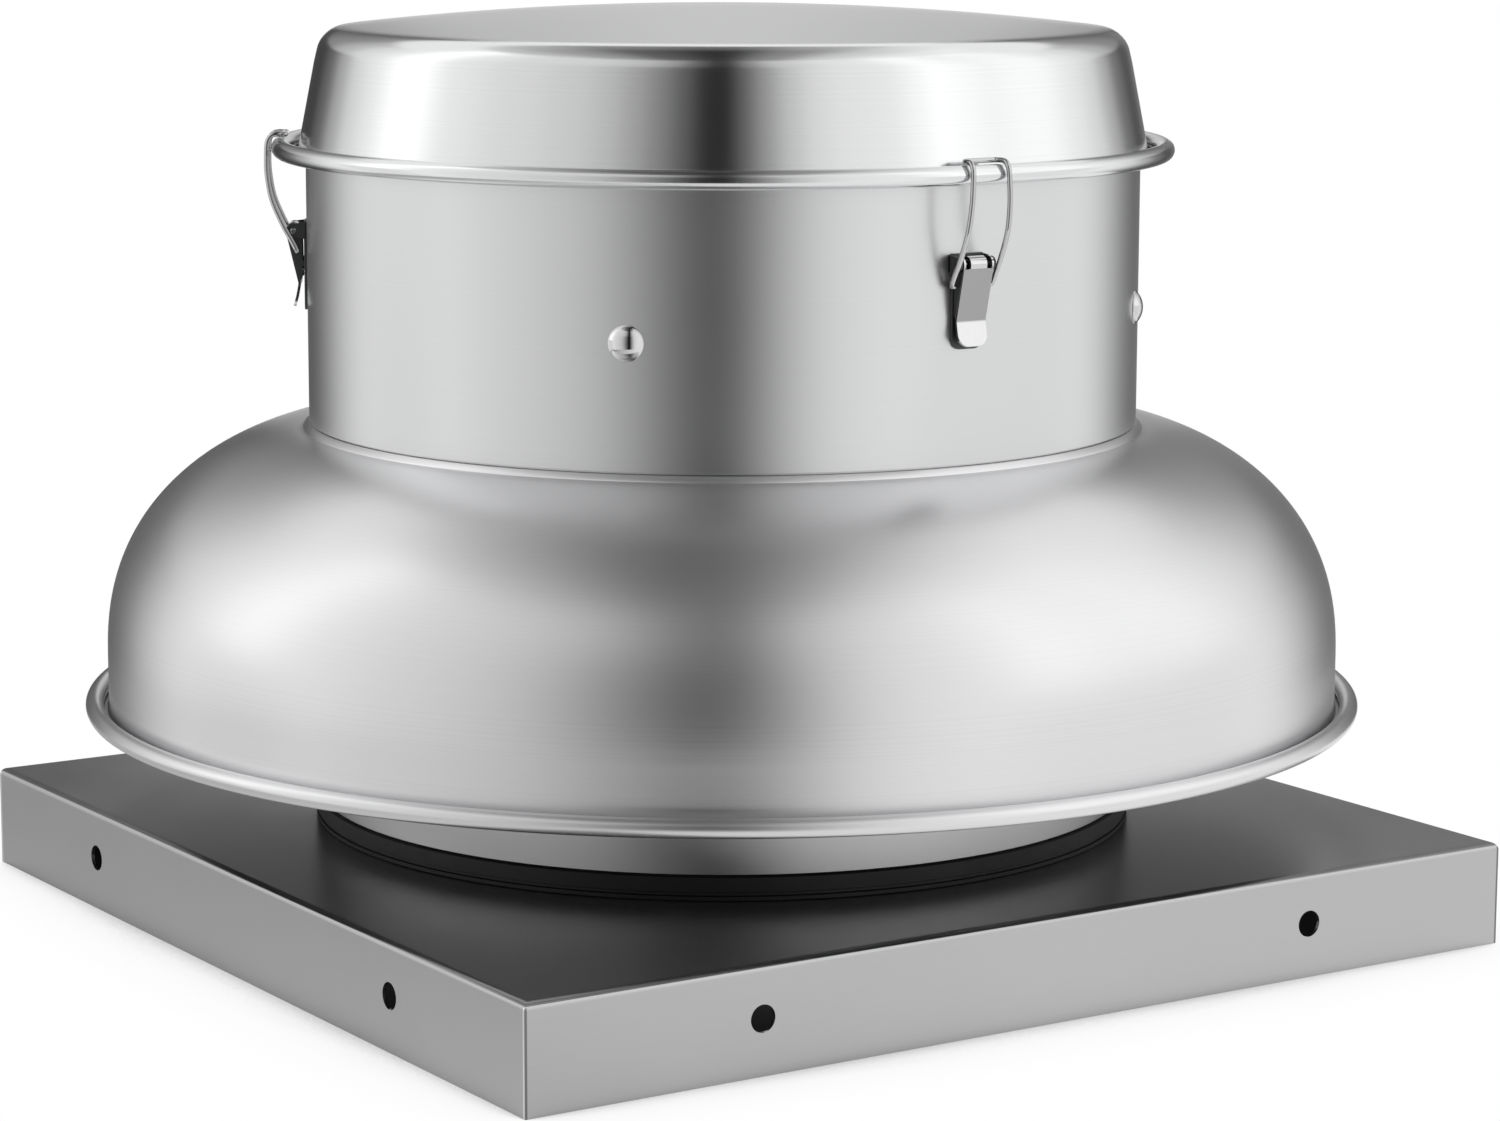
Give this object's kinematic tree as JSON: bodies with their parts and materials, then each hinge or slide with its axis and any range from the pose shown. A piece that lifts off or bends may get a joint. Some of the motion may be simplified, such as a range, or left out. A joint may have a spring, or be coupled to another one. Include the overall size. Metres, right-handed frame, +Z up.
{
  "type": "roof exhaust fan",
  "caption": "Downblast roof exhaust fan with a spun bell housing on a square curb cap and a lift-off motor cap held by draw latches.",
  "frame": {"origin": "middle of the curb cap's footprint, level with its flange's lower edge", "axes": "+Z up along the fan's shaft, X and Y along the curb cap's sides, one draw latch on the -Y side"},
  "size_m": [0.5579, 0.558, 0.3977],
  "materials": {
    "spun_aluminium": "satin, spun",
    "sheet_aluminium": "satin mill sheet",
    "rivet_aluminium": "bright",
    "cast_aluminium": "as cast, turned faces",
    "stainless": "polished",
    "zinc_steel": "zinc plated",
    "motor_paint": "semi-gloss",
    "ground_steel": "ground",
    "core_steel": "laminated, varnished",
    "black_rubber": "matte",
    "black_nylon": "moulded"
  },
  "bodies": {
    "housing": {"curb_cap": "sheet_aluminium", "collar_gasket": "black_rubber", "inlet_collar": "sheet_aluminium", "collar_rivets": "rivet_aluminium", "inlet_venturi": "sheet_aluminium", "venturi_rivets": "rivet_aluminium", "support_strap_1": "zinc_steel", "support_strap_2": "zinc_steel", "support_strap_3": "zinc_steel", "support_strap_4": "zinc_steel", "foot_bolts": "zinc_steel", "bell_housing": "spun_aluminium", "motor_band": "spun_aluminium", "motor_pan": "sheet_aluminium", "band_bolts": "stainless", "hex_nuts": "zinc_steel", "shaft_seal": "black_rubber", "motor_isolators": "black_rubber", "motor_bolts": "zinc_steel", "motor_base": "motor_paint", "motor_shell": "motor_paint", "motor_top_cover": "motor_paint", "motor_tie_rods": "zinc_steel", "bearing_lower": "ground_steel", "bearing_upper": "ground_steel", "motor_stator": "core_steel", "junction_box": "sheet_aluminium", "junction_cover": "sheet_aluminium", "junction_screws": "zinc_steel", "cable_gland": "black_nylon", "cap_gasket": "black_rubber", "latch_base_1": "stainless", "latch_base_2": "stainless", "latch_base_3": "stainless", "latch_hinge_pins": "stainless", "latch_rivets": "stainless"},
    "rotor": {"motor_shaft": "ground_steel", "motor_rotor": "core_steel", "wheel_hub": "cast_aluminium", "hub_set_screw": "zinc_steel", "hub_rivets": "rivet_aluminium", "wheel_backplate": "sheet_aluminium", "wheel_shroud": "sheet_aluminium", "wheel_blade_1": "sheet_aluminium", "wheel_blade_2": "sheet_aluminium", "wheel_blade_3": "sheet_aluminium", "wheel_blade_4": "sheet_aluminium", "wheel_blade_5": "sheet_aluminium", "wheel_blade_6": "sheet_aluminium", "wheel_blade_7": "sheet_aluminium", "wheel_blade_8": "sheet_aluminium", "wheel_blade_9": "sheet_aluminium"},
    "lever_1": {"latch_lever_1": "stainless"},
    "bail_1": {"latch_bail_1": "stainless"},
    "lever_2": {"latch_lever_2": "stainless"},
    "bail_2": {"latch_bail_2": "stainless"},
    "lever_3": {"latch_lever_3": "stainless"},
    "bail_3": {"latch_bail_3": "stainless"},
    "cap": {"cap": "spun_aluminium"}
  },
  "joints": [
    {"name": "fan_spin", "type": "hinge", "parent": "housing", "child": "rotor", "pos_m": [0, 0, 0.2415], "axis": [0, 0, 1], "continuous": true},
    {"name": "lever_1_swing", "type": "hinge", "parent": "housing", "child": "lever_1", "pos_m": [0, -0.186, 0.301], "axis": [-1, 0, 0], "range_deg": [0, 150]},
    {"name": "bail_1_swing", "type": "hinge", "parent": "lever_1", "child": "bail_1", "pos_m": [0, -0.1844, 0.292], "axis": [-1, 0, 0], "range_deg": [-158, 0]},
    {"name": "lever_2_swing", "type": "hinge", "parent": "housing", "child": "lever_2", "pos_m": [0.16108, 0.093, 0.301], "axis": [0.5, -0.866, 0], "range_deg": [0, 150]},
    {"name": "bail_2_swing", "type": "hinge", "parent": "lever_2", "child": "bail_2", "pos_m": [0.1597, 0.0922, 0.292], "axis": [0.5, -0.866, 0], "range_deg": [-158, 0]},
    {"name": "lever_3_swing", "type": "hinge", "parent": "housing", "child": "lever_3", "pos_m": [-0.16108, 0.093, 0.301], "axis": [0.5, 0.866, 0], "range_deg": [0, 150]},
    {"name": "bail_3_swing", "type": "hinge", "parent": "lever_3", "child": "bail_3", "pos_m": [-0.1597, 0.0922, 0.292], "axis": [0.5, 0.866, 0], "range_deg": [-158, 0]},
    {"name": "cap_lift", "type": "slide", "parent": "housing", "child": "cap", "axis": [0, 0, 1], "range_m": [0, 0.12]}
  ],
  "couplings": [
    {"joint": "bail_1_swing", "follows": "lever_1_swing", "ratio": -1.05},
    {"joint": "bail_2_swing", "follows": "lever_2_swing", "ratio": -1.05},
    {"joint": "bail_3_swing", "follows": "lever_3_swing", "ratio": -1.05}
  ]
}
